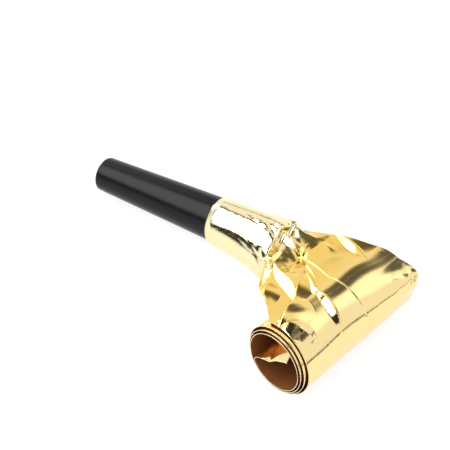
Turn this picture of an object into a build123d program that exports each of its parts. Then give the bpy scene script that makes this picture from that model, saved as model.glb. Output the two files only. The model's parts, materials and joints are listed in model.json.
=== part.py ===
from build123d import *
import math
import os

# A party horn blower that lies on a table: a tapered plastic mouthpiece with a reed inside, and a flat
# tube of gold film that is gathered round the mouthpiece, crushed at a crease, and rolled up under itself.
# Millimetres and degrees. Angles on the roll run clockwise from its top, seen along its axis.

# Mouthpiece, measured along its own axis from the lip end
mouth_diameter = 11.0
wide_end_diameter = 15.1
mouthpiece_length = 64.0
lip_round = 1.0
lip_inner_round = 0.4
mouth_bore_diameter = 8.0
mouth_bore_depth = 16.0
reed_bore_diameter = 7.2
reed_bore_end = 34.0
wide_end_wall = 1.5

# Reed inside the mouthpiece
plug_length = 4.0
plug_clearance = 0.02
shallot_diameter = 5.2
shallot_length = 11.0
facing_height = 0.5
facing_fall = 3.0
air_slot_width = 2.6
air_slot_floor = -1.2
air_slot_roof = 0.4
air_slot_end_wall = 1.2
tongue_width = 3.6
tongue_thickness = 0.12
tongue_clearance = 0.10
tongue_root = 1.8
collar_diameter = 6.4
collar_length = 2.0
collar_from_plug = 1.5
tongue_swing = 2.5

# Foil gathered on the mouthpiece
black_length = 43.0
sleeve_wall = 0.24
sleeve_overhang = 0.5
glue_length = 16.0
glue_thickness = 0.08
glue_inset = 2.0
film_fit = 0.02

# Crushed neck and flat run up to the roll
crease_room = 3.1
neck_width = 14.0
neck_height = 12.0
neck_wall = 0.2
flare_share = 0.45
flare_height = 4.4
run_length = 27.2
run_aside = 9.4
roll_yaw = -13.5

# Flat tube of film and the recoil strip inside it
strip_width = 43.5
strip_thickness = 0.24
channel_height = 0.10
side_seam = 0.6
recoil_width = 5.0
recoil_thickness = 0.06
recoil_anchor_length = 8.0

# Roll
roll_radius = 10.2
roll_pitch = 0.70
full_turns = 3
fork_angle = 240.0
panel_count = 24
panel_gap = 0.10
telescope = 2.2

# Flat closed end that crosses the hollow of the roll
tail_fold = 80.0
tail_start_gap = 0.4
tail_clearance = 0.9
seal_length = 4.0
seal_thickness = 0.12

# Worked out from the sizes above
mouth_radius = mouth_diameter / 2
wide_end_radius = wide_end_diameter / 2
taper_slope = (wide_end_radius - mouth_radius) / mouthpiece_length
mouth_bore_radius = mouth_bore_diameter / 2
reed_bore_radius = reed_bore_diameter / 2
plug_face = reed_bore_end - plug_length
shallot_tip = plug_face - shallot_length
shallot_radius = shallot_diameter / 2
collar_back = plug_face - collar_from_plug
collar_front = collar_back - collar_length
tongue_low = facing_height + tongue_clearance
tongue_high = tongue_low + tongue_thickness
sleeve_end = mouthpiece_length + sleeve_overhang
sleeve_lift = glue_thickness + 2 * film_fit
crease_distance = mouthpiece_length + crease_room
half_strip = strip_thickness / 2
half_channel = channel_height / 2
half_recoil = recoil_thickness / 2
half_gap = panel_gap / 2
middle_radius = roll_radius - half_strip


def cone_radius(distance):
    """Outer radius of the mouthpiece at a distance from the lip."""
    return mouth_radius + taper_slope * distance


# The mouthpiece lies on its lip and on the leading edge of the foil sleeve.
sleeve_edge_radius = cone_radius(black_length) + sleeve_lift + sleeve_wall
lip_contact_radius = cone_radius(lip_round)
lie_angle = math.degrees(math.atan2(sleeve_edge_radius - lip_contact_radius, black_length - lip_round))
lie_sine = math.sin(math.radians(lie_angle))
lie_cosine = math.cos(math.radians(lie_angle))
axis_height = lip_contact_radius * lie_cosine - lip_round * lie_sine
mouthpiece_place = Location((0, 0, axis_height), (0, -lie_angle, 0))
crease_x = crease_distance * lie_cosine
crease_z = axis_height + crease_distance * lie_sine

# The flat run climbs from the crease and meets the roll along a tangent. The film spirals inwards at a
# steady pitch, and roll_radius is its outer radius at the foot of the roll, where it lies on the table.
foot_angle = 180


def film_growth(angle):
    """How much wider than at the foot the film spirals at an angle."""
    return roll_pitch * (foot_angle - angle) / 360


yaw_sine = math.sin(math.radians(roll_yaw))
yaw_cosine = math.cos(math.radians(roll_yaw))
roll_x = crease_x + run_length * yaw_cosine + run_aside * yaw_sine
roll_y = run_length * yaw_sine - run_aside * yaw_cosine
roll_place = Location((roll_x, roll_y, 0), (0, 0, roll_yaw))
crease_drop = roll_radius - crease_z
crease_reach = math.hypot(run_length, crease_drop)
run_slope = 0
for settling in range(10):
    start_radius = middle_radius + film_growth(-run_slope)
    run_slope = math.degrees(math.atan2(crease_drop, run_length) + math.asin(start_radius / crease_reach))
slope_sine = math.sin(math.radians(run_slope))
slope_cosine = math.cos(math.radians(run_slope))
run_span = math.sqrt(crease_reach**2 - start_radius**2)
roll_start = -run_slope
roll_end = 360 * full_turns + fork_angle
panel_turn = (roll_end - roll_start) / panel_count


def middle_of_film(angle):
    """Radius of the middle of the rolled film."""
    return middle_radius + film_growth(angle)


def roll_point(radius, angle):
    """Point on the roll's section, in the roll's own frame."""
    return (radius * math.sin(math.radians(angle)), roll_radius + radius * math.cos(math.radians(angle)))


def far_edge(panel):
    """Far side of the strip: the inner turns have slipped out of the roll towards the near side."""
    share = 1 - panel / panel_count
    return strip_width / 2 - telescope * (1 - share**2)


def section_plane(side):
    """Plane across the roll's axis, which extrudes towards the near side."""
    return Plane(origin=(0, side, 0), x_dir=(1, 0, 0), z_dir=(0, -1, 0))


def rolled_band(angle_from, angle_to, half_thickness, far, width):
    """Arc of the roll, half_thickness to each side of the middle of the film."""
    angles = (angle_from, (angle_from + angle_to) / 2, angle_to)
    outer = [roll_point(middle_of_film(angle) + half_thickness, angle) for angle in angles]
    inner = [roll_point(middle_of_film(angle) - half_thickness, angle) for angle in angles]
    outline = [
        ThreePointArc(*outer),
        Line(outer[2], inner[2]),
        ThreePointArc(*inner[::-1]),
        Line(inner[0], outer[0]),
    ]
    return extrude(section_plane(far) * make_face(outline), amount=width)


def panel_angles(panel):
    """First and last angle of a panel, less half a gap at each end."""
    start = roll_start + panel * panel_turn
    finish = start + panel_turn
    start_trim = math.degrees(half_gap / middle_of_film(start))
    finish_trim = math.degrees(half_gap / middle_of_film(finish))
    return start + start_trim, finish - finish_trim


def turned(outline):
    """Solid of revolution about the mouthpiece's axis, from an outline of distances and radii."""
    return revolve(make_face(outline), axis=Axis.X)


def cone_shell(start, finish, lift, wall):
    """Thin conical tube that follows the mouthpiece, lifted off its surface."""
    corners = [
        (start, cone_radius(start) + lift),
        (finish, cone_radius(finish) + lift),
        (finish, cone_radius(finish) + lift + wall),
        (start, cone_radius(start) + lift + wall),
    ]
    return turned(Polyline(*corners, close=True))


def along_axis(distance):
    """Plane across the mouthpiece's axis: its x is the part's Y and its y is the part's Z."""
    return Plane(origin=(distance, 0, 0), x_dir=(0, 1, 0), z_dir=(1, 0, 0))


def make_mouthpiece():
    """Moulded tube: tapered outside, with a stepped bore for the lips and for the reed."""
    wide_bore_radius = wide_end_radius - wide_end_wall
    lip_outer = cone_radius(lip_round)
    lip_inner = mouth_bore_radius
    corner = math.sqrt(0.5)
    outer_round = ThreePointArc(
        (0, lip_outer - lip_round),
        (lip_round * (1 - corner), lip_outer - lip_round * (1 - corner)),
        (lip_round, lip_outer),
    )
    inner_round = ThreePointArc(
        (lip_inner_round, lip_inner),
        (lip_inner_round * (1 - corner), lip_inner + lip_inner_round * (1 - corner)),
        (0, lip_inner + lip_inner_round),
    )
    sides = Polyline(
        (lip_round, lip_outer),
        (mouthpiece_length, wide_end_radius),
        (mouthpiece_length, wide_bore_radius),
        (reed_bore_end, reed_bore_radius),
        (mouth_bore_depth, reed_bore_radius),
        (mouth_bore_depth, lip_inner),
        (lip_inner_round, lip_inner),
    )
    lip_face = Line((0, lip_inner + lip_inner_round), (0, lip_outer - lip_round))
    return turned([sides, inner_round, lip_face, outer_round])


def make_reed_shallot():
    """Plug pressed into the bore, with a slotted nose whose flat facing falls away from the tongue."""
    plug = extrude(along_axis(plug_face) * Circle(reed_bore_radius - plug_clearance), amount=plug_length)
    nose = extrude(along_axis(shallot_tip) * Circle(shallot_radius), amount=shallot_length)
    tip_height = facing_height - (collar_front - shallot_tip) * math.tan(math.radians(facing_fall))
    above_facing = Polyline(
        (shallot_tip, tip_height),
        (collar_front, facing_height),
        (plug_face, facing_height),
        (plug_face, shallot_diameter),
        (shallot_tip, shallot_diameter),
        close=True,
    )
    facing_cut = extrude(section_plane(0) * make_face(above_facing), amount=shallot_diameter, both=True)
    slot_start = shallot_tip + air_slot_end_wall
    slot_depth = shallot_radius - air_slot_floor
    slot_shape = Pos(0, air_slot_floor + slot_depth / 2) * Rectangle(air_slot_width, slot_depth)
    slot_cut = extrude(along_axis(slot_start) * slot_shape, amount=plug_face - slot_start)
    duct_height = air_slot_roof - air_slot_floor
    duct_shape = Pos(0, air_slot_floor + duct_height / 2) * Rectangle(air_slot_width, duct_height)
    duct_cut = extrude(along_axis(plug_face) * duct_shape, amount=plug_length)
    return plug + (nose - facing_cut - slot_cut) - duct_cut


def make_reed_tongue():
    """Thin film tongue over the slot, held at its root under the collar."""
    shape = Pos(0, (tongue_low + tongue_high) / 2) * Rectangle(tongue_width, tongue_thickness)
    return extrude(along_axis(shallot_tip) * shape, amount=collar_front + tongue_root - shallot_tip)


def make_reed_collar():
    """Ring with a hole that is flat on top, which holds the root of the tongue on the shallot."""
    ring = extrude(along_axis(collar_front) * Circle(collar_diameter / 2), amount=collar_length)
    flat_height = tongue_high + tongue_clearance
    hole_radius = shallot_radius + plug_clearance
    lower_half = Pos(0, flat_height - collar_diameter / 2) * Rectangle(collar_diameter, collar_diameter)
    hole_shape = Circle(hole_radius) & lower_half
    return ring - extrude(along_axis(collar_front) * hole_shape, amount=collar_length)


def oval_outline(width, height):
    """Crushed but still open section of the foil, as four arcs."""
    corner_x = width / 2 * math.sqrt(0.5)
    corner_y = height / 2 * math.sqrt(0.5)
    return make_face([
        ThreePointArc((corner_x, corner_y), (0, height / 2), (-corner_x, corner_y)),
        ThreePointArc((-corner_x, corner_y), (-width / 2, 0), (-corner_x, -corner_y)),
        ThreePointArc((-corner_x, -corner_y), (0, -height / 2), (corner_x, -corner_y)),
        ThreePointArc((corner_x, -corner_y), (width / 2, 0), (corner_x, corner_y)),
    ])


def flat_outline(width, height):
    """Flat section of the film, as four lines in the order of the neck's arcs."""
    corners = [
        (width / 2, height / 2),
        (-width / 2, height / 2),
        (-width / 2, -height / 2),
        (width / 2, -height / 2),
    ]
    return make_face([Line(corners[side], corners[(side + 1) % 4]) for side in range(4)])


def run_plane(share):
    """Plane across the run, a share of the way from the crease to the roll."""
    distance = share * (run_span - half_gap)
    ahead = distance * slope_cosine - run_length
    place = (ahead, run_aside * (1 - share), crease_z + distance * slope_sine)
    return Plane(origin=place, x_dir=(0, 1, 0), z_dir=(slope_cosine, 0, slope_sine))


def make_foil_neck():
    """Foil that flattens soon after the crease and flares to its full width at the start of the roll."""
    flare_width = neck_width + flare_share * (strip_width - neck_width)
    ovals = ((0, neck_width, neck_height), (flare_share, flare_width, flare_height))
    outside = [run_plane(share) * oval_outline(width, height) for share, width, height in ovals]
    inside = [
        run_plane(share) * oval_outline(width - 2 * neck_wall, height - 2 * neck_wall)
        for share, width, height in ovals
    ]
    outside.append(run_plane(1) * flat_outline(strip_width, strip_thickness))
    inside.append(run_plane(1) * flat_outline(strip_width - 2 * side_seam, channel_height))
    return loft(outside, ruled=True) - loft(inside, ruled=True)


def make_recoil_anchor():
    """First stretch of the recoil strip, in the flat run."""
    return extrude(run_plane(1) * Rectangle(recoil_width, recoil_thickness), amount=-recoil_anchor_length)


def make_panel(panel):
    """One arc of the flat tube: two plies of film with an air channel between them."""
    start, finish = panel_angles(panel)
    far = far_edge(panel)
    tube = rolled_band(start, finish, half_strip, far, strip_width)
    channel = rolled_band(start, finish, half_channel, far - side_seam, strip_width - 2 * side_seam)
    return tube - channel


def make_recoil(panel):
    """One arc of the recoil strip, in the middle of the channel."""
    start, finish = panel_angles(panel)
    far = far_edge(panel) - (strip_width - recoil_width) / 2
    return rolled_band(start, finish, half_recoil, far, recoil_width)


# The tail turns off the end of the roll and crosses the hollow. Its x runs along the tail.
tail_root = roll_point(middle_of_film(roll_end) + half_strip, roll_end)
tail_heading = -roll_end - tail_fold
tail_cosine = math.cos(math.radians(tail_heading))
tail_sine = math.sin(math.radians(tail_heading))
hollow_radius = middle_of_film(roll_end) - half_strip
tail_length = 2 * hollow_radius * math.sin(math.radians(tail_fold)) - tail_clearance


def tail_slab(start, length, low, high):
    """Flat slab along the tail, between two depths below its upper face."""
    corners = [
        (start, -high),
        (start + length, -high),
        (start + length, -low),
        (start, -low),
    ]
    placed = [
        (tail_root[0] + x * tail_cosine - y * tail_sine, tail_root[1] + x * tail_sine + y * tail_cosine)
        for x, y in corners
    ]
    far = far_edge(panel_count)
    return extrude(section_plane(far) * make_face(Polyline(*placed, close=True)), amount=strip_width)


def make_foil_tail():
    """Flat, empty end of the tube, pressed shut."""
    return tail_slab(tail_start_gap, tail_length - tail_start_gap, 0, strip_thickness)


def make_tail_seal():
    """Folded and glued closure under the end of the tail."""
    seal_low = strip_thickness + seal_thickness
    return tail_slab(tail_length - seal_length, seal_length, strip_thickness, seal_low)


def least_turn_gap():
    """Least distance between neighbouring turns, measured on points of their facing sides."""
    steps = range(int(roll_start), int(roll_end) + 1)
    inner_side = [(angle, roll_point(middle_of_film(angle) - half_strip, angle)) for angle in steps]
    outer_side = [(angle, roll_point(middle_of_film(angle) + half_strip, angle)) for angle in steps]
    gaps = [
        math.dist(outer_place, inner_place)
        for outer_angle, outer_place in outer_side
        for inner_angle, inner_place in inner_side
        if 350 < outer_angle - inner_angle < 370
    ]
    return min(gaps)


# All the pieces, each in its own place
glue_end = mouthpiece_length - glue_inset
glue_start = glue_end - glue_length
pieces = {
    "mouthpiece_tube": mouthpiece_place * make_mouthpiece(),
    "reed_shallot": mouthpiece_place * make_reed_shallot(),
    "reed_tongue": mouthpiece_place * make_reed_tongue(),
    "reed_collar": mouthpiece_place * make_reed_collar(),
    "glue_band": mouthpiece_place * cone_shell(glue_start, glue_end, film_fit, glue_thickness),
    "foil_sleeve": mouthpiece_place * cone_shell(black_length, sleeve_end, sleeve_lift, sleeve_wall),
    "foil_neck": roll_place * make_foil_neck(),
    "recoil_anchor": roll_place * make_recoil_anchor(),
    "foil_tail": roll_place * make_foil_tail(),
    "tail_seal": roll_place * make_tail_seal(),
}
for panel in range(panel_count):
    pieces[f"foil_panel_{panel + 1:02d}"] = roll_place * make_panel(panel)
    pieces[f"recoil_strip_{panel + 1:02d}"] = roll_place * make_recoil(panel)

# The origin is on the table, under the middle of the whole blower.
boxes = [piece.bounding_box() for piece in pieces.values()]
middle_x = (min(box.min.X for box in boxes) + max(box.max.X for box in boxes)) / 2
middle_y = (min(box.min.Y for box in boxes) + max(box.max.Y for box in boxes)) / 2
origin_shift = Pos(-middle_x, -middle_y, 0)

os.makedirs("parts", exist_ok=True)
for name, piece in pieces.items():
    export_step(origin_shift * piece, f"parts/{name}.step")


def placed_point(place, point):
    """A point of one of the two groups, in the finished frame."""
    return (origin_shift * place * Pos(*point)).position


def tell_joint(name, point, axis, turn):
    """Print a hinge: its point, its axis and how far it turns from rest."""
    print(f"joint {name} point {point.X:.4f} {point.Y:.4f} {point.Z:.4f}"
          f" axis {axis[0]:.6f} {axis[1]:.6f} {axis[2]:.6f} turn {turn:.4f}")


# Hinges: uncurling turns the film the other way round from the roll.
uncurl_axis = (yaw_sine, -yaw_cosine, 0)
run_heading = Vector(slope_cosine * yaw_cosine, slope_cosine * yaw_sine, slope_sine)
mouthpiece_heading = Vector(lie_cosine, 0, lie_sine)
crease_axis = run_heading.cross(mouthpiece_heading).normalized()
crease_turn = run_heading.get_angle(mouthpiece_heading)
crease_point = placed_point(mouthpiece_place, (crease_distance, 0, 0))
tell_joint("crease", crease_point, tuple(crease_axis), crease_turn)
for panel in range(panel_count):
    hinge_angle = roll_start + panel * panel_turn
    hinge_x, hinge_z = roll_point(middle_of_film(hinge_angle) + half_strip, hinge_angle)
    hinge_point = placed_point(roll_place, (hinge_x, 0, hinge_z))
    hinge_turn = panel_turn if panel else panel_turn / 2
    tell_joint(f"uncurl_{panel + 1:02d}", hinge_point, uncurl_axis, hinge_turn)
tail_point = placed_point(roll_place, (tail_root[0], 0, tail_root[1]))
tell_joint("uncurl_tail", tail_point, uncurl_axis, tail_fold + panel_turn / 2)
tongue_hinge = placed_point(mouthpiece_place, (collar_front, 0, (tongue_low + tongue_high) / 2))
tell_joint("tongue", tongue_hinge, (0, 1, 0), tongue_swing)
mouth_point = placed_point(mouthpiece_place, (0, 0, 0))
print(f"mouth {mouth_point.X:.4f} {mouth_point.Y:.4f} {mouth_point.Z:.4f}"
      f" heading {lie_cosine:.6f} {lie_sine:.6f}")
rolled_length = math.radians(roll_end - roll_start) * middle_of_film((roll_start + roll_end) / 2)
print(f"foil past the crease, uncurled {run_span + rolled_length + tail_length:.1f}")
print(f"origin shift {middle_x:.4f} {middle_y:.4f}")
print(f"least gap between turns {least_turn_gap():.3f}")
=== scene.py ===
import json
import math
import bmesh
import bpy
import numpy as np
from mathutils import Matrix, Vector


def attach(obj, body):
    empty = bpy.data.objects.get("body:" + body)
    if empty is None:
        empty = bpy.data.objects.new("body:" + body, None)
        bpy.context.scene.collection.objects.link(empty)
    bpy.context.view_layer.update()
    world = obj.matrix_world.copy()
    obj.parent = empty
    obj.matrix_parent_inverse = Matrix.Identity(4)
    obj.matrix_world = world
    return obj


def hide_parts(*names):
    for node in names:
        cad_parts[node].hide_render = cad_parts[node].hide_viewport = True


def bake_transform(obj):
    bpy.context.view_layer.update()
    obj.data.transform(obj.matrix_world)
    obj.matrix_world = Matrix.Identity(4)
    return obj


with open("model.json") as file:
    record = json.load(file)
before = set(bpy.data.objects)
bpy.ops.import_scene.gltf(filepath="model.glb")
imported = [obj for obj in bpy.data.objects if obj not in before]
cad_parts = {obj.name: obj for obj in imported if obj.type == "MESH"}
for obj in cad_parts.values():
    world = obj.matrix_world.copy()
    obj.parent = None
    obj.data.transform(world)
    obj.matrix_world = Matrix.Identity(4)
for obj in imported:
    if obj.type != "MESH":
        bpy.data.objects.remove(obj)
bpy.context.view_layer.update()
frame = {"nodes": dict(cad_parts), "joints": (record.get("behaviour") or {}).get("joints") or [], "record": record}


# Mouthpiece: a tapered tube moulded in black plastic, with a rounded lip end and a stepped bore. Its outside
# has the satin skin of a plain steel mould, with faint flow marks along it and scuffs from handling.
class Wire:
    """A socket in a node tree. Sums on it add Math nodes, and node() adds any other node."""

    def __init__(self, tree, socket=None):
        self.tree = tree
        self.socket = socket

    def node(self, kind, settings=None, inputs=None, output=0):
        made = self.tree.nodes.new(kind)
        for name, value in (settings or {}).items():
            setattr(made, name, value)
        for name, value in (inputs or {}).items():
            if isinstance(value, Wire):
                self.tree.links.new(value.socket, made.inputs[name])
            else:
                made.inputs[name].default_value = value
        return Wire(self.tree, made.outputs[output])

    def math(self, operation, first, second=0.0):
        return self.node("ShaderNodeMath", {"operation": operation}, {0: first, 1: second})

    def most(self, other):
        return self.math("MAXIMUM", self, other)

    def mix(self, share, first, second):
        colours = {0: share, 6: first, 7: second}
        return self.node("ShaderNodeMix", {"data_type": "RGBA"}, colours, 2)

    def ramp(self, low, high):
        """0 below low, 1 above high, and a smooth rise between them."""
        inputs = {"Value": self, "From Min": low, "From Max": high}
        return self.node("ShaderNodeMapRange", {"interpolation_type": "SMOOTHSTEP"}, inputs)

    def __add__(self, other):
        return self.math("ADD", self, other)

    def __sub__(self, other):
        return self.math("SUBTRACT", self, other)

    def __rsub__(self, other):
        return self.math("SUBTRACT", other, self)

    def __mul__(self, other):
        return self.math("MULTIPLY", self, other)

    __radd__ = __add__
    __rmul__ = __mul__


def new_finish(name, **constants):
    """A material, the wire that its nodes hang on, and a call that sets or feeds the shader's sockets."""
    material = bpy.data.materials.new(name)
    material.use_nodes = True
    tree = material.node_tree
    shader = tree.nodes["Principled BSDF"]

    def feed(socket, value):
        if isinstance(value, Wire):
            tree.links.new(value.socket, shader.inputs[socket])
        else:
            shader.inputs[socket].default_value = value

    for socket, value in constants.items():
        feed(socket.replace("_", " ").title().replace("Ior", "IOR"), value)
    return material, Wire(tree), feed


def piece_place(wires):
    """A place on a piece, in metres."""
    return wires.node("ShaderNodeTexCoord", None, None, "Object")


def noise(wires, place, scale, detail=2.0, roughness=0.5):
    settings = {"Vector": place, "Scale": scale, "Detail": detail, "Roughness": roughness}
    return wires.node("ShaderNodeTexNoise", None, settings)


def bump(wires, height, distance, strength=1.0):
    return wires.node("ShaderNodeBump", None, {"Height": height, "Distance": distance, "Strength": strength})


def dress(node, material):
    """Give a carried-over node its finish."""
    piece = frame["nodes"][node]
    piece.data.materials.clear()
    piece.data.materials.append(material)


black_plastic, wires, feed = new_finish("black_plastic", specular_ior_level=0.22)
place = piece_place(wires)
stretched = wires.node("ShaderNodeMapping", None, {"Vector": place, "Scale": (60.0, 900.0, 900.0)})
flow_marks = noise(wires, stretched, 1.0, 3.0)
skin_grain = noise(wires, place, 5200.0, 2.0)
scuffs = noise(wires, place, 240.0, 5.0, 0.7).ramp(0.56, 0.78)
feed("Base Color", wires.mix(scuffs * 0.5, (0.003, 0.003, 0.0035, 1), (0.010, 0.010, 0.011, 1)))
feed("Roughness", 0.22 + flow_marks * 0.10 + scuffs * 0.10)
feed("Normal", bump(wires, skin_grain + flow_marks * 0.6, 0.000006))
dress("mouthpiece_tube", black_plastic)

# Reed: a small moulded holder pressed into the bore, a film tongue over its slot, and the ring that clamps
# the root of the tongue. The holder and ring are natural plastic, cloudy and a little yellow.
reed_plastic, wires, feed = new_finish("reed_plastic", subsurface_weight=0.15, subsurface_scale=0.001)
place = piece_place(wires)
cloud = noise(wires, place, 420.0, 4.0)
feed("Base Color", wires.mix(cloud, (0.78, 0.76, 0.68, 1), (0.90, 0.88, 0.82, 1)))
feed("Roughness", 0.34 + cloud * 0.16)
feed("Normal", bump(wires, noise(wires, place, 4200.0), 0.000008))
dress("reed_shallot", reed_plastic)
dress("reed_collar", reed_plastic)

reed_film, wires, feed = new_finish("reed_film", transmission_weight=0.35, ior=1.5)
place = piece_place(wires)
haze = noise(wires, place, 700.0, 3.0)
feed("Base Color", wires.mix(haze, (0.70, 0.75, 0.78, 1), (0.84, 0.87, 0.88, 1)))
feed("Roughness", 0.12 + haze * 0.15)
dress("reed_tongue", reed_film)

# Glue band: a thin coat of amber adhesive that holds the gathered foil on the mouthpiece. It is laid on by
# hand before the foil goes over it, so it is smeared and uneven.
glue, wires, feed = new_finish("glue", coat_weight=0.4, coat_roughness=0.2)
place = piece_place(wires)
smear = noise(wires, place, 380.0, 5.0, 0.6)
feed("Base Color", wires.mix(smear, (0.62, 0.46, 0.20, 1), (0.86, 0.74, 0.48, 1)))
feed("Roughness", 0.35 + smear * 0.30)
feed("Normal", bump(wires, smear, 0.00004))
dress("glue_band", glue)

# Foil: one flattened tube of gold metallised film. It is gathered round the wide end of the mouthpiece,
# crushed where it leaves it, flares to its full flat width and is rolled up under itself. Places on it are
# told in millimetres: along it from the crease, minus on the mouthpiece, and across it from its near edge.
millimetre = 0.001
strip_width = 43.5
film_thickness = 0.24
ply_half = 0.08
roll_radius = 10.2
roll_pitch = 0.70
roll_turns = 3
fork_angle = 240.0
panel_count = 24
telescope = 2.2
sleeve_length = 24.1
sleeve_lift = 0.36
wide_end_radius = 7.55
mouthpiece_taper = 0.032
end_of_mouthpiece = -3.1
neck_half_width = 7.0
neck_half_height = 6.0
flare_share = 0.45
flare_half_height = 2.2
tail_fold = 80.0
tail_bend_radius = 1.2
tail_bow = 44.0
tail_length = 15.0

hinges = {joint["name"]: joint for joint in frame["joints"]}
crease = np.array(hinges["crease"]["pos_m"]) / millimetre
first_hinge = np.array(hinges["uncurl_01"]["pos_m"]) / millimetre
to_lips = np.array(frame["record"]["mounts"][0]["axis"])
upward = np.array((0.0, 0.0, 1.0))
pipe_ahead = -to_lips
pipe_side = np.cross(upward, pipe_ahead) / np.linalg.norm(np.cross(upward, pipe_ahead))
pipe_up = np.cross(pipe_ahead, pipe_side)
roll_side = -np.array(hinges["uncurl_01"]["axis"])
roll_ahead = np.cross(roll_side, upward)

half_film = film_thickness / 2
climb = first_hinge - crease
climb_ahead = climb @ roll_ahead
climb_straight = math.hypot(climb_ahead, climb[2])
lean = math.asin(half_film / climb_straight)
run_slope = math.atan2(climb[2], climb_ahead) - lean
run_span = climb_straight * math.cos(lean)
run_aside = -climb @ roll_side
roll_start = -run_slope
roll_end = math.radians(360 * roll_turns + fork_angle)
roll_shrink = roll_pitch / (2 * math.pi)
start_radius = roll_radius - half_film + roll_shrink * (math.pi - roll_start)
run_reach = run_span * math.cos(run_slope) + start_radius * math.sin(run_slope)
roll_foot = crease + run_reach * roll_ahead - run_aside * roll_side
roll_foot[2] = 0.0
roll_angle = roll_end - roll_start
panel_turn = roll_angle / panel_count
fold_setback = tail_bend_radius * math.tan(math.radians(tail_fold / 2))
fold_turn = roll_angle - fold_setback / (start_radius - roll_shrink * roll_angle)


def wound_length(turn):
    """Length of film from the start of the roll through an angle."""
    return start_radius * turn - roll_shrink * turn**2 / 2


fold_place = run_span + wound_length(fold_turn)
tail_place = fold_place + tail_bend_radius * math.radians(tail_fold - tail_bow / 2)
film_end = tail_place + tail_length - fold_setback
bow_radius = (film_end - tail_place) / math.radians(tail_bow)


def panel_middle(panel):
    """How far along the film the middle of a panel lies."""
    return run_span + wound_length((panel + 0.5) * panel_turn)


def smooth(share):
    """A share from 0 to 1, made to start and stop softly."""
    share = np.clip(share, 0, 1)
    return share * share * (3 - 2 * share)


def fade_in(place, start, length):
    """0 up to a start, and a smooth rise to 1 over a length."""
    return smooth((place - start) / length)


def fade_out(place, end, length):
    """A smooth fall to 0 over a length that stops at an end."""
    return smooth((end - place) / length)


def wound_turn(along):
    """Angle from the start of the roll at a place along the film."""
    wound = np.clip(along - run_span, 0, fold_place - run_span)
    return (start_radius - np.sqrt(start_radius**2 - 2 * roll_shrink * wound)) / roll_shrink


def middle_line(along):
    """The film's middle, seen along the roll: place ahead and up, and the way that its upper ply faces."""
    turn = wound_turn(along)
    angle = roll_start + turn
    radius = start_radius - roll_shrink * turn
    ahead = radius * np.sin(angle)
    height = roll_radius + radius * np.cos(angle)
    before = np.minimum(along - run_span, 0)
    ahead = ahead + before * np.cos(angle)
    height = height - before * np.sin(angle)
    past_end = film_end + 1
    bends = ((fold_place, tail_place, tail_bend_radius), (tail_place, past_end, bow_radius))
    for bend_start, bend_end, bend_radius in bends:
        bent_angle = angle + np.clip(along - bend_start, 0, bend_end - bend_start) / bend_radius
        ahead = ahead + bend_radius * (np.sin(bent_angle) - np.sin(angle))
        height = height + bend_radius * (np.cos(bent_angle) - np.cos(angle))
        angle = bent_angle
    return ahead, height, np.sin(angle), np.cos(angle)


def ridge(along, across, start, end, near_width, far_width, height, foot=1.0):
    """A lens-shaped fold with a sharp crest, and flanks of their own widths towards the near and far edges.
    Its foot is a crease at 1, and runs out softly above that."""
    run = (end[0] - start[0], end[1] - start[1])
    length = math.hypot(*run)
    ahead = ((along - start[0]) * run[0] + (across - start[1]) * run[1]) / length
    aside = ((across - start[1]) * run[0] - (along - start[0]) * run[1]) / length
    share = np.clip(ahead / length, 0, 1)
    swell = 4 * share * (1 - share)
    flank = np.maximum(np.where(aside > 0, far_width, near_width) * swell, 1e-6)
    return height * swell * np.clip(1 - np.abs(aside) / flank, 0, 1) ** foot


def puff(along, across, middle, size, height):
    """A soft rounded swelling."""
    return height * np.exp(-((along - middle[0]) / size[0]) ** 2 - ((across - middle[1]) / size[1]) ** 2)


facet_corners = 64
corner_heights = np.random.default_rng(7).uniform(-1, 1, (facet_corners, facet_corners))


def facets(along, across, size):
    """Flat triangles of uneven shape, from -1 to 1 high, as in crushed foil."""
    warp = 0.4 * size
    warped_along = along + warp * np.sin(1.9 * across / size + 0.6 * along / size)
    warped_across = across + warp * np.sin(1.6 * along / size + 1.0)
    row = 2 * warped_across / (math.sqrt(3) * size)
    column = warped_along / size - row / 2
    row_start, column_start = np.floor(row).astype(int), np.floor(column).astype(int)
    row_share, column_share = row - row_start, column - column_start
    upper = (row_share + column_share > 1).astype(int)

    def corner(column_step, row_step):
        corner_column, corner_row = column_start + column_step, row_start + row_step
        return corner_heights[corner_column % facet_corners, corner_row % facet_corners]

    first, second, third = corner(upper, upper), corner(1, 0), corner(0, 1)
    to_second = np.where(upper, 1 - row_share, column_share)
    to_third = np.where(upper, 1 - column_share, row_share)
    return first * (1 - to_second - to_third) + second * to_second + third * to_third


lap_seam = 23.4
lap_width = 0.5
lap_step = 0.14
dent_height = 0.14
dent_size = 6.5


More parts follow.
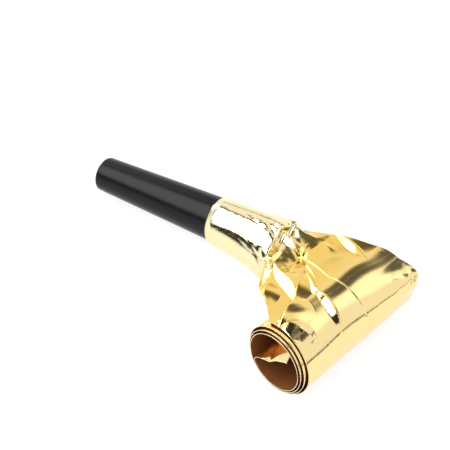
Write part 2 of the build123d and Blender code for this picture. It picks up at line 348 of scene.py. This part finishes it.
def fold_height(along, across):
    """How far creases and swellings lift the flat film. Each fold has its start, its end, the widths of its
    near and far flanks and its height. Each swelling has its middle, its size and its height."""
    folds = (
        ((6.5, 13.2), (28.0, 11.2), 4.0, 4.5, 1.05),
        ((25.5, 8.5), (17.0, 19.0), 5.0, 1.2, 1.75),
        ((16.0, 19.4), (29.5, 16.4), 2.5, 1.0, 1.0),
        ((25.5, 17.2), (40.0, 13.6), 2.0, 1.0, 1.05),
        ((28.5, 0.0), (24.0, 13.0), 7.0, 1.5, 1.8),
        ((26.5, 1.6), (37.0, 5.4), 3.6, 3.2, 0.95),
        ((29.8, 2.4), (37.8, 5.4), 2.6, 2.6, 1.0),
        ((11.5, 43.0), (27.0, 36.6), 2.6, 1.2, 1.0),
        ((18.5, -2.5), (11.5, 6.5), 6.0, 1.2, 1.8),
        ((2.0, 25.4), (24.0, 19.4), 0.9, 0.9, 0.3),
        ((9.2, 29.5), (12.0, 15.5), 0.9, 0.9, 0.3),
        ((7.4, 8.0), (2.0, 27.0), 1.8, 1.4, 1.0, 1.6),
    )
    swellings = (
        ((9.0, 39.5), (7.0, 5.0), 0.5),
        ((14.0, 33.0), (2.4, 1.5), 0.5),
        ((10.0, 21.5), (4.4, 4.0), -1.5),
        ((6.4, 10.8), (1.3, 1.3), 1.0),
        ((28.0, 43.5), (8.0, 10.0), -0.7),
    )
    height = np.maximum.reduce([ridge(along, across, *fold) for fold in folds])
    height = height + sum(puff(along, across, *swelling) for swelling in swellings)
    lap = smooth((across - lap_seam) / lap_width + 0.5) * lap_step
    dents = dent_height * facets(along, across, dent_size) * fade_out(along, run_span + 2, 8)
    waves = 0.10 * np.sin(along * 0.29 + across * 0.21 + 0.6) + 0.08 * np.sin(across * 0.38 - along * 0.17)
    return fade_in(along, 1, 6) * (height + lap + dents + fade_out(along, run_span + 30, 16) * waves)


crush_place = 2.0
crush_reach = 5.0
crush_edge = 2.4
neck_facet_height = 1.25
neck_facet_size = 4.4
beside_place = -1.0
beside_reach = 8.0
small_facet_height = 0.07
small_facet_size = 2.2


def neck_crumple(along, around):
    """Hard facets where the tube is crushed, and small ones beside them. What is added to a place picks the
    part of the pattern of facets."""
    near_crease = np.exp(-(np.abs(along - crush_place) / crush_reach) ** crush_edge)
    beside = np.exp(-(np.abs(along - beside_place) / beside_reach) ** 2)
    crushed = neck_facet_height * near_crease * facets(along + 70, around + 49, neck_facet_size)
    return crushed + small_facet_height * beside * facets(along + 30, around, small_facet_size)


loosening = 1.6
flat_depth = 0.16
coarse_ripple = 0.018
fine_ripple = 0.005
pleat_angles = (-180, -120, -60, 60, 87, 118, 180)
pleat_heights = (0.9, 0.3, 0, 0, 0.67, 0.62, 0.9)
pleat_start = 2.5


def gathers(along, angle):
    """Shallow lengthwise flats, fine ripples and pleats of the film on the mouthpiece."""
    looser = smooth((along + sleeve_length) / sleeve_length * loosening)
    flats = flat_depth * looser * np.abs(np.sin(3.5 * angle + 0.5 * np.sin(along * 0.3)))
    ripple = coarse_ripple * np.sin(along * 2.3 + 2.0 * np.sin(angle * 3))
    ripple = ripple + fine_ripple * np.sin(along * 4.1 - angle * 4)
    patch = 0.5 + 0.5 * np.sin(along * 0.45 + 1.0) * np.sin(angle * 2.0)
    pleats = np.interp(np.degrees(angle), pleat_angles, pleat_heights)
    return flats + ripple * patch * looser + pleats * fade_in(along, -sleeve_length, pleat_start)


lead_in_length = 0.5
past_crease = 0.5
bulges = (
    ((-4.0, 20.5), (9.0, 6.0), 2.0),
    ((-2.0, 20.5), (3.5, 5.0), 1.2),
)


def pipe_form(along, angle):
    """The film that is gathered round the mouthpiece. It bulges on its near side, before the neck."""
    lead_in = fade_in(along, -sleeve_length, lead_in_length)
    around = np.degrees(np.mod(angle, 2 * math.pi)) / 10
    bulge = sum(puff(along, around, *loose) for loose in bulges)
    radius = wide_end_radius + mouthpiece_taper * (along - end_of_mouthpiece)
    radius = radius + sleeve_lift * lead_in + gathers(along, angle) * lead_in + bulge * lead_in
    off = np.outer(radius * np.cos(angle), pipe_side) + np.outer(radius * np.sin(angle), pipe_up)
    return crease + np.outer(np.minimum(along, past_crease), pipe_ahead) + off


flattening = 1.15
near_swell = 3.8
swell_place = 8.0
swell_reach = 8.0
fold_reach = 48.0
tail_lift = 3.0
tail_droop = 6.0
droop_width = 14.0
droop_start = 6.0
far_power = 1.2
far_inward = 0.07
far_sink = 0.14
near_rise = 0.05
corner_reach = 38.0
corner_angle = 52.0
corner_spread = 36.0
corner_height = 2.8
corner_crush = 0.5
corner_facet_size = 1.8
fade_length = 12.0
under_shift = 1.2


def flat_form(along, share, ply, angle, half, shift, flat):
    """The flare and the roll. The roll is smaller towards its far end, where a corner of its first turn
    stands up, and its flat end hangs down at the near edge."""
    opening = np.clip(along / run_span, 0, 1)
    flatness = np.ones_like(opening) if flat else smooth(opening * flattening)
    half_width = neck_half_width + (strip_width / 2 - neck_half_width) * opening
    heights = (half, half) if flat else (neck_half_height, flare_half_height)
    half_height = np.interp(opening, (0, flare_share, 1), (*heights, half))
    turned = wound_turn(along)
    slip = 1 - turned / roll_angle
    aside = run_aside * (1 - opening) - telescope * (1 - slip**2)
    aside = aside + half_width * ((1 - flatness) * np.cos(angle) + flatness * (2 * share - 1))
    aside = aside - near_swell * np.exp(-(((along - swell_place) / swell_reach) ** 2)) * (1 - share) ** 2
    across = share * strip_width
    droop = tail_droop * np.clip(1 - across / droop_width, 0, 1) ** 1.5 - tail_lift
    off = half_height * ((1 - flatness) * np.sin(angle) + flatness * ply) + shift
    off = off + fold_height(along, across) * fade_out(along, run_span + fold_reach, fade_length)
    off = off - fade_in(along, tail_place, droop_start) * droop
    ahead, height, face_ahead, face_up = middle_line(np.maximum(along, 0))
    ahead = ahead + off * face_ahead
    height = height + off * face_up
    settled = smooth(opening)
    far_share = np.clip((aside + strip_width / 2) / strip_width, 0, 1)
    ahead = ahead * (1 - far_inward * far_share**far_power * settled)
    height = height * (1 + (near_rise - far_sink * far_share**far_power) * settled)
    from_corner = np.abs(np.degrees(roll_start + turned) - corner_angle)
    crest = smooth(1 - from_corner / corner_spread) * fade_out(along, run_span + corner_reach, fade_length)
    crumpled = corner_crush * crest * far_share**10 * facets(along, across, corner_facet_size)
    corner = corner_height * far_share**4 * crest + crumpled
    ahead = ahead + corner * face_ahead
    height = height + corner * face_up
    aside = aside - under_shift * (1 - height / (2 * roll_radius)) * settled
    return roll_foot + np.outer(ahead, roll_ahead) + np.outer(aside, roll_side) + np.outer(height, upward)


def round_tube(turn, edge_share, near, far):
    """Place across the film and ply, 1 for the upper and -1 for the under one, at a share of the way round.
    The way goes over the upper ply from the near edge, round the far edge and back along the under ply."""
    stops = (0, 0.5 - edge_share, 0.5, 1 - edge_share, 1)
    across = np.interp(turn, stops, (near, far, far, near, near))
    ply = np.interp(turn, stops, (1, 1, -1, -1, 1))
    return across, ply


floor_clearance = 0.02
crossing_start = -1.6
crossing_length = 5.0


def film_skin(along, turn, edge_share, edges=(0.0, 1.0), half=ply_half, shift=0.0, flat=False):
    """Outside of the flattened tube in the frame, in millimetres."""
    share, ply = round_tube(turn, edge_share, *edges)
    angle = math.pi * (1 - 2 * turn)
    crossing = fade_in(along, crossing_start, crossing_length)[:, None]
    place = pipe_form(along, angle) * (1 - crossing)
    place = place + flat_form(along, share, ply, angle, half, shift, flat) * crossing
    crush = neck_crumple(along, turn * 2 * strip_width)
    place = place + crush[:, None] * (np.outer(np.cos(angle), pipe_side) + np.outer(np.sin(angle), pipe_up))
    place[:, 2] = np.maximum(place[:, 2], floor_clearance)
    return place


tuck_depth = 0.04
flat_ply = 0.95
fine_step = 0.25
fine_columns = 176


def film_tube(name, reach, finishes, step=fine_step, columns=fine_columns, edge_columns=4, tuck=0, **shape):
    """A stretch of the foil tube: a grid, closed into a tube and laid on the film's rest shape. It can start
    early, tucked inside the stretch before it."""
    tuck_end = reach[0] - step / 2
    reach = (reach[0] - tuck, reach[1])
    rows = max(2, round((reach[1] - reach[0]) / step))
    loop = 2 * (columns + edge_columns)
    sheet = bmesh.new()
    bmesh.ops.create_grid(sheet, x_segments=rows, y_segments=loop, size=0.5)
    mesh = bpy.data.meshes.new(name)
    sheet.to_mesh(mesh)
    sheet.free()
    on_sheet = np.empty(len(mesh.vertices) * 3)
    mesh.vertices.foreach_get("co", on_sheet)
    on_sheet = on_sheet.reshape(-1, 3) + 0.5
    along = reach[0] + (reach[1] - reach[0]) * on_sheet[:, 0]
    turn = np.clip(on_sheet[:, 1], 0, 1)
    edge_share = edge_columns / loop

    def skin(along, turn):
        return film_skin(along, np.mod(turn, 1 + 1e-9), edge_share, **shape)

    places = skin(along, turn)
    turn_step = 0.5 / loop
    ahead = skin(along + step / 2, turn) - skin(along - step / 2, turn)
    sideways = skin(along, np.mod(turn + turn_step, 1)) - skin(along, np.mod(turn - turn_step, 1))
    normals = np.cross(ahead, sideways)
    normals /= np.maximum(np.linalg.norm(normals, axis=1), 1e-12)[:, None]
    places = places - tuck_depth * (along < tuck_end)[:, None] * normals
    mesh.vertices.foreach_set("co", (places * millimetre).ravel())
    across, ply = round_tube(turn, edge_share, 0.0, strip_width)
    for layer, values in (("film", np.stack((along, across, ply), 1)), ("facing", normals)):
        attribute = mesh.attributes.new(layer, "FLOAT_VECTOR", "POINT")
        attribute.data.foreach_set("vector", values.astype(np.float32).ravel())
    corners = np.empty(len(mesh.loops), np.int32)
    mesh.loops.foreach_get("vertex_index", corners)
    corners = corners.reshape(-1, 4)
    face_along, face_ply = along[corners].mean(1), ply[corners].mean(1)
    over, under = face_ply > flat_ply, face_ply < -flat_ply
    on_edge = ~over & ~under & (face_along >= run_span / 2)
    # Under-ply faces inside the roll take the finish painted with the hollow's shade.
    inside_roll = under & (face_along > run_span)
    past_fold = over & (face_along > fold_place)
    finish_number = np.select((on_edge, inside_roll, past_fold), (1, 2, 3), 0)
    finish_number = np.minimum(finish_number, len(finishes) - 1)
    mesh.polygons.foreach_set("material_index", finish_number.astype(np.int32))
    closed = bmesh.new()
    closed.from_mesh(mesh)
    bmesh.ops.remove_doubles(closed, verts=closed.verts, dist=1e-8)
    closed.to_mesh(mesh)
    closed.free()
    for finish in finishes:
        mesh.materials.append(finish)
    mesh.shade_smooth()
    facing = np.empty(len(mesh.vertices) * 3, np.float32)
    mesh.attributes["facing"].data.foreach_get("vector", facing)
    mesh.normals_split_custom_set_from_vertices(facing.reshape(-1, 3).tolist())
    mesh.attributes.remove(mesh.attributes["facing"])
    piece = bpy.data.objects.new(name, mesh)
    bpy.context.scene.collection.objects.link(piece)
    return piece


def place_on_film(wires):
    """A place on the film: how far along and across it, and which ply."""
    return wires.node("ShaderNodeAttribute", {"attribute_name": "film"}, None, "Vector")


gold_film, wires, feed = new_finish("gold_film", metallic=1.0)
film_place = place_on_film(wires)
along_film = wires.node("ShaderNodeSeparateXYZ", None, {0: film_place}, "X")
tint = noise(wires, film_place, 0.11, 3.0)
fine = noise(wires, film_place, 1.7, 4.0, 0.6)
# The base colour holds painted reflection. The sleeve and neck are painted a paler gold that grades into the
# roll's gold. The neck and flare are painted a deeper, more saturated gold that stands in for light bounced
# between the folds. The noise over it is the film's own uneven tone.
painted_pale_gold = wires.mix(along_film.ramp(0.0, 20.0), (0.95, 0.83, 0.50, 1), (0.95, 0.77, 0.39, 1))
painted_deep_gold_share = along_film.ramp(2.0, 10.0) * (1 - along_film.ramp(22.0, 36.0) * 0.85)
feed("Base Color", wires.mix(painted_deep_gold_share * (0.75 + tint * 0.4), painted_pale_gold, (0.93, 0.62, 0.14, 1)))
feed("Roughness", 0.06 + fine * 0.07)
feed("Normal", bump(wires, fine, 0.00003, 0.5))

pressed_film, wires, feed = new_finish("pressed_film", metallic=1.0)
film_place = place_on_film(wires)
tint = noise(wires, film_place, 0.3, 3.0)
feed("Base Color", wires.mix(tint, (0.93, 0.70, 0.28, 1), (0.97, 0.82, 0.45, 1)))
feed("Roughness", 0.08 + tint * 0.08)

# Inside of the roll: the under ply that faces into the hollow is painted dark amber brown and made less metallic.
# This is painted shade of the hollow, and the noise gives it uneven tone.
roll_hollow_painted_shade, wires, feed = new_finish("roll_hollow_painted_shade", metallic=0.55)
film_place = place_on_film(wires)
tint = noise(wires, film_place, 0.2, 3.0)
feed("Base Color", wires.mix(tint, (0.28, 0.09, 0.03, 1), (0.40, 0.16, 0.05, 1)))
feed("Roughness", 0.28 + tint * 0.2)

film_edge, wires, feed = new_finish("film_edge", metallic=0.3, roughness=0.4)
film_place = place_on_film(wires)
nicks = noise(wires, film_place, 0.9, 3.0)
feed("Base Color", wires.mix(nicks, (0.80, 0.66, 0.36, 1), (0.97, 0.90, 0.68, 1)))

film_finishes = (gold_film, film_edge, roll_hollow_painted_shade, pressed_film)
quarter_turned = 0.3264
half_turned = 0.5
tail_turned = 0.225


def point_on(along):
    """The middle of the film in the frame, in metres."""
    ahead, height, face_ahead, face_up = middle_line(np.array((along,)))
    aside = run_aside * max(0.0, 1 - along / run_span)
    return (roll_foot + ahead[0] * roll_ahead + aside * roll_side + height[0] * upward) * millimetre


def bend_panel(piece, panel):
    """Find where a stretch of film would run from the middle of a panel to the middle of the next, with its ends a
    quarter of the turn in; panel 0 is the neck. It neither moves nor bends the piece, and only bakes the piece's
    transform into its mesh."""
    first, last = panel_middle(panel - 1), panel_middle(panel)
    shares = (quarter_turned, 1 - quarter_turned)
    if panel == 0:
        first, shares = 2 * run_span - last, (0.0, half_turned)
    elif panel == panel_count:
        last, shares = 2 * tail_place - first, (tail_turned, 1.0)
    first_end, last_end = point_on(first), point_on(last)
    whole = (last_end - first_end) / (shares[1] - shares[0])
    start = first_end - shares[0] * whole
    start + whole
    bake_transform(piece)


flare_start = 10.0
gather = film_tube("foil_gather", (-sleeve_length, flare_start), film_finishes)
crease_room = 4.0
point_on(crease_room)
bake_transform(gather)
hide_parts("foil_sleeve")
flare = film_tube("foil_flare", (flare_start, panel_middle(0)), film_finishes)
bend_panel(flare, 0)
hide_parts("foil_neck")
roll_tuck = 1.25
outer_panels = 8
coarse_step = 0.4
coarse_columns = 88
for panel in range(1, panel_count + 1):
    reach = (panel_middle(panel - 1), film_end if panel == panel_count else panel_middle(panel))
    step, columns = (fine_step, fine_columns) if panel <= outer_panels else (coarse_step, coarse_columns)
    roll_piece = film_tube(f"foil_roll_{panel:02d}", reach, film_finishes, step, columns, tuck=roll_tuck)
    bend_panel(roll_piece, panel)
    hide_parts(f"foil_panel_{panel:02d}")
    if panel == panel_count:
        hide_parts("foil_tail")

# Recoil strip: a springy ribbon of clear film inside the tube, with a curl set into it by heat. It is held
# in the flat run and lies loose between the two plies from there to the end of the roll.
recoil_film, wires, feed = new_finish("recoil_film", transmission_weight=0.3, ior=1.5)
film_place = place_on_film(wires)
haze = noise(wires, film_place, 0.5, 3.0)
feed("Base Color", wires.mix(haze, (0.70, 0.72, 0.74, 1), (0.86, 0.88, 0.89, 1)))
feed("Roughness", 0.12 + haze * 0.12)
recoil_width = 5.0
recoil_half = 0.03
recoil_anchor_length = 8.0
recoil_share = recoil_width / strip_width
recoil_edges = (0.5 - recoil_share / 2, 0.5 + recoil_share / 2)
recoil_grid = {"step": 0.6, "columns": 12, "edge_columns": 2}
recoil_shape = {"edges": recoil_edges, "half": recoil_half, "flat": True}
for panel in range(panel_count + 1):
    start = panel_middle(panel - 1) if panel else run_span - recoil_anchor_length
    reach = (start, fold_place if panel == panel_count else panel_middle(panel))
    ribbon = film_tube(f"recoil_ribbon_{panel:02d}", reach, (recoil_film,), **recoil_grid, **recoil_shape)
    bend_panel(ribbon, panel)
    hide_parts(f"recoil_strip_{panel:02d}" if panel else "recoil_anchor")

# End seal: the last millimetres of the flat end, of the same film, folded back underneath and glued. It
# closes the tube, so that the breath fills it.
seal_length = 4.0
seal_half = 0.06
seal_reach = (film_end - seal_length, film_end)
seal_shape = {"half": seal_half, "shift": -half_film - seal_half}
seal = film_tube("tail_seal_fold", seal_reach, film_finishes, columns=coarse_columns, **seal_shape)
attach(seal, "tail")
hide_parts("tail_seal")

# Floor: a sheet of white board that the blower lies on. It shows as white to the camera and in reflections,
# and still takes the blower's shadow.
floor_size = 0.6
floor_mesh = bmesh.new()
bmesh.ops.create_grid(floor_mesh, x_segments=1, y_segments=1, size=floor_size)
floor_data = bpy.data.meshes.new("floor")
floor_mesh.to_mesh(floor_data)
floor_mesh.free()
floor = bpy.data.objects.new("floor", floor_data)
bpy.context.scene.collection.objects.link(floor)
board = bpy.data.materials.new("board")
board.use_nodes = True
tree = board.node_tree
wires = Wire(tree)
tree.nodes.remove(tree.nodes["Principled BSDF"])
matt = wires.node("ShaderNodeBsdfDiffuse", None, {"Color": (0.86, 0.86, 0.86, 1)})
white_strength = 1.06
white = wires.node("ShaderNodeEmission", None, {"Color": (1, 1, 1, 1), "Strength": white_strength})
seen = wires.node("ShaderNodeLightPath", None, None, "Is Camera Ray")
mirrored = wires.node("ShaderNodeLightPath", None, None, "Is Glossy Ray")
through = wires.node("ShaderNodeLightPath", None, None, "Is Transmission Ray")
shown = seen.most(mirrored).most(through)
white_share = 0.8
surface = wires.node("ShaderNodeMixShader", None, {0: shown * white_share, 1: matt, 2: white})
tree.links.new(surface.socket, tree.nodes["Material Output"].inputs["Surface"])
floor_data.materials.append(board)

# Studio: a white room, dim towards the camera and round the key box, with a dark skirting at the right. Dark
# screens behind and overhead draw the dark bands in the film, and a strip light at the left draws the white
# one along the sleeve. Two soft boxes light it all.
world = bpy.data.worlds.new("studio")
bpy.context.scene.world = world
world.use_nodes = True
tree = world.node_tree
wires = Wire(tree)
direction = wires.node("ShaderNodeTexCoord", None, None, "Generated")


def toward(heading):
    """How squarely a direction points towards a heading."""
    inputs = {0: direction, 1: Vector(heading).normalized()}
    return wires.node("ShaderNodeVectorMath", {"operation": "DOT_PRODUCT"}, inputs, "Value")


def round_patch(heading, radius, soft=4.0):
    """1 within a round patch of the wall in that direction, 0 outside it."""
    near_edge, far_edge = math.radians(radius - soft), math.radians(radius + soft)
    return toward(heading).ramp(math.cos(far_edge), math.cos(near_edge))


overhead = (0, 0, 1)
key_heading = (-0.38, -0.45, 0.81)
side_heading = (0.54, 0.38, 0.75)
camera_heading = (0.38, -0.60, 0.70)
dim = round_patch(key_heading, 46).most(round_patch(camera_heading, 22))

back_screens = (((-0.144, 0.741, 0.656), 10), ((-0.349, 0.783, 0.515), 9), ((0.531, 0.817, 0.225), 9))
roof_screens = (((0.604, -0.220, 0.766), 14), ((0.352, 0.128, 0.927), 11))
screen_softness = 7
screens = 0.0
for heading, radius in back_screens + roof_screens:
    screens = round_patch(heading, radius, screen_softness).most(screens)

right_heading = (0.96, 0.28, 0.0)
skirting = toward(right_heading).ramp(0.3, 0.6) * (1 - toward(overhead).ramp(0.01, 0.07))
screen_darkness = 0.9
wall = (1 - skirting) * (1 - dim) * (1 - screens * screen_darkness)

left_heading = (-0.934, 0.358, 0.0)
beside_strip = toward((0.358, 0.934, 0.0))
strip = 1 - beside_strip.math("ABSOLUTE", beside_strip).ramp(0.09, 0.14)
strip = strip * toward(left_heading).ramp(0.2, 0.4)
strip = strip * (1 - toward(overhead).ramp(0.62, 0.70))
strip_strength = 5
above_heading = (0.326, 0.613, 0.719)
above_strength = 0.4
lights = strip * strip_strength + round_patch(above_heading, 13, 8) * above_strength

room_light = 0.03
wall_light = 0.97
room = room_light + wall * wall_light + lights
seen = wires.node("ShaderNodeLightPath", None, None, "Is Camera Ray")
glow = room + seen * (1 - room)
tree.links.new(glow.socket, tree.nodes["Background"].inputs["Strength"])
tree.nodes["Background"].inputs["Color"].default_value = (1, 1, 1, 1)


def soft_box(name, heading, distance, size, radiance):
    """A rectangular lamp that faces the blower."""
    lamp = bpy.data.lights.new(name, "AREA")
    lamp.shape = "RECTANGLE"
    lamp.size, lamp.size_y = size
    lamp.energy = radiance * math.pi * size[0] * size[1]
    box = bpy.data.objects.new(name, lamp)
    heading = Vector(heading).normalized()
    box.location = heading * distance
    box.rotation_euler = heading.to_track_quat("Z", "Y").to_euler()
    box.visible_camera = False
    bpy.context.scene.collection.objects.link(box)
    return box


soft_box("key_box", key_heading, distance=0.7, size=(0.92, 0.74), radiance=4.0)
side_box = soft_box("side_box", side_heading, distance=0.7, size=(0.8, 0.7), radiance=1.0)
side_box.visible_glossy = False

# Camera: the photograph's place, lens and direction, found from the edges of the mouthpiece and the oval end
# of the roll.
camera_turn = math.radians(32.393)
camera_rise = math.radians(44.821)
lens_pixels = 891.14
picture_pixels = 450
camera_distance = 0.263469
target = Vector((-0.0049479, 0.0127652, 0.0106060))
camera_data = bpy.data.cameras.new("camera")
camera_data.sensor_width = 36.0
camera_data.lens = lens_pixels / picture_pixels * camera_data.sensor_width
camera_data.clip_start = 0.01
camera = bpy.data.objects.new("camera", camera_data)
level = math.cos(camera_rise)
away = Vector((math.sin(camera_turn) * level, -math.cos(camera_turn) * level, math.sin(camera_rise)))
camera.location = target + away * camera_distance
camera.rotation_euler = away.to_track_quat("Z", "Y").to_euler()
bpy.context.scene.collection.objects.link(camera)
bpy.context.scene.camera = camera
bpy.context.scene.view_settings.view_transform = "Standard"
